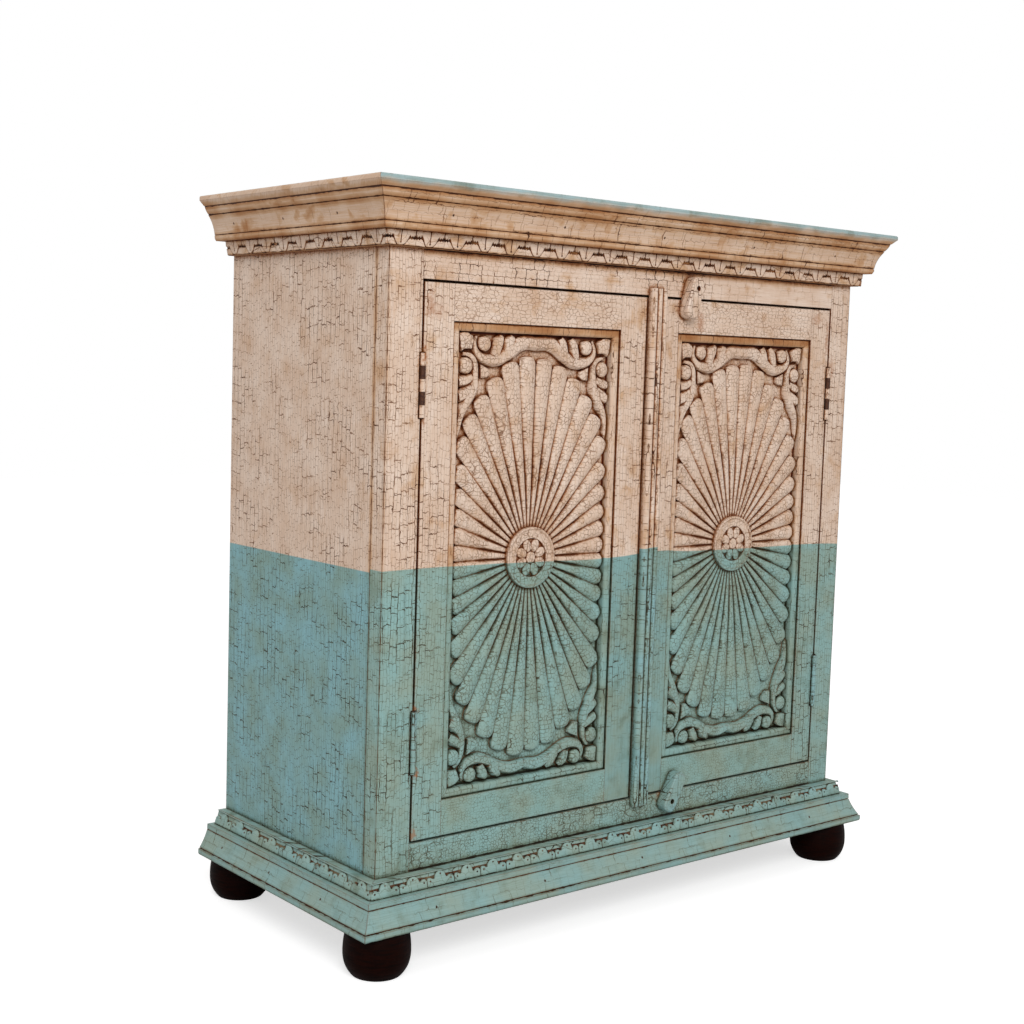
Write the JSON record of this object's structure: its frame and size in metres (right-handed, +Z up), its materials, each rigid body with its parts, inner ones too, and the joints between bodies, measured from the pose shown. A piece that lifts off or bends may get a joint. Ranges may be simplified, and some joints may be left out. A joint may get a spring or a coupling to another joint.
{
  "type": "two-door cabinet",
  "caption": "Low two-door cabinet on bun feet with carved sunburst panels, a moulded cornice and plinth, butt-hinged doors and turn-button catches.",
  "frame": {"origin": "on the floor, under the middle of the whole cabinet", "axes": "+X to the right as seen from the front, +Y towards the back, +Z up; the doors face -Y"},
  "size_m": [0.914, 0.425, 0.931],
  "materials": {
    "dark_lacquered_wood": "dark red-brown shellac, satin",
    "bare_hinge_steel": "tarnished steel",
    "painted_hinge_steel": "cream paint over steel",
    "old_steel_fasteners": "rust-darkened steel",
    "bare_wood": "unpainted old hardwood",
    "turquoise_paint": "crackled turquoise milk paint over wood, brown wax in the cracks",
    "cream_paint": "crackled cream milk paint over wood, brown wax in the cracks",
    "two_tone_paint": "crackled paint over wood, cream above and turquoise below, brown wax in the cracks"
  },
  "bodies": {
    "carcass": {"left_side_board": "two_tone_paint", "right_side_board": "two_tone_paint", "back_board": "bare_wood", "bottom_board": "bare_wood", "shelf_board": "bare_wood", "shelf_cleats": "bare_wood", "top_board": "turquoise_paint", "frame_left_stile": "two_tone_paint", "frame_right_stile": "two_tone_paint", "frame_top_rail": "cream_paint", "frame_bottom_rail": "turquoise_paint", "door_stop": "bare_wood", "crown_front": "cream_paint", "crown_left": "cream_paint", "crown_right": "cream_paint", "upper_band_front": "cream_paint", "upper_band_left": "cream_paint", "upper_band_right": "cream_paint", "lower_band_front": "turquoise_paint", "lower_band_left": "turquoise_paint", "lower_band_right": "turquoise_paint", "plinth_front": "turquoise_paint", "plinth_left": "turquoise_paint", "plinth_right": "turquoise_paint", "front_left_foot": "dark_lacquered_wood", "front_right_foot": "dark_lacquered_wood", "back_left_foot": "dark_lacquered_wood", "back_right_foot": "dark_lacquered_wood", "foot_screws": "old_steel_fasteners", "left_upper_frame_leaf": "painted_hinge_steel", "left_lower_frame_leaf": "painted_hinge_steel", "right_upper_frame_leaf": "painted_hinge_steel", "right_lower_frame_leaf": "painted_hinge_steel", "hinge_pins": "bare_hinge_steel", "frame_hinge_screws": "old_steel_fasteners", "moulding_nails": "old_steel_fasteners", "back_screws": "old_steel_fasteners", "button_screws": "old_steel_fasteners"},
    "left_door": {"left_door_hinge_stile": "two_tone_paint", "left_door_meeting_stile": "two_tone_paint", "left_door_top_rail": "cream_paint", "left_door_bottom_rail": "turquoise_paint", "left_door_panel": "two_tone_paint", "left_door_beading": "two_tone_paint", "left_door_hinge_screws": "old_steel_fasteners", "left_upper_door_leaf": "bare_hinge_steel", "left_lower_door_leaf": "bare_hinge_steel"},
    "right_door": {"right_door_hinge_stile": "two_tone_paint", "right_door_meeting_stile": "two_tone_paint", "right_door_top_rail": "cream_paint", "right_door_bottom_rail": "turquoise_paint", "right_door_panel": "two_tone_paint", "right_door_beading": "two_tone_paint", "right_door_hinge_screws": "old_steel_fasteners", "right_upper_door_leaf": "bare_hinge_steel", "right_lower_door_leaf": "bare_hinge_steel", "astragal": "two_tone_paint"},
    "upper_button": {"upper_turn_button": "cream_paint"},
    "lower_button": {"lower_turn_button": "turquoise_paint"}
  },
  "joints": [
    {"name": "left_door_hinge", "type": "hinge", "parent": "carcass", "child": "left_door", "pos_m": [-0.361, -0.168, 0.486], "axis": [0, 0, -1], "range_deg": [0, 170]},
    {"name": "right_door_hinge", "type": "hinge", "parent": "carcass", "child": "right_door", "pos_m": [0.369, -0.168, 0.486], "axis": [0, 0, 1], "range_deg": [0, 170]},
    {"name": "upper_button_turn", "type": "hinge", "parent": "carcass", "child": "upper_button", "pos_m": [0.076, -0.1665, 0.8345], "axis": [0, 1, 0], "range_deg": [-104, 76]},
    {"name": "lower_button_turn", "type": "hinge", "parent": "carcass", "child": "lower_button", "pos_m": [0.066, -0.1665, 0.14], "axis": [0, 1, 0], "range_deg": [-73, 62]}
  ]
}
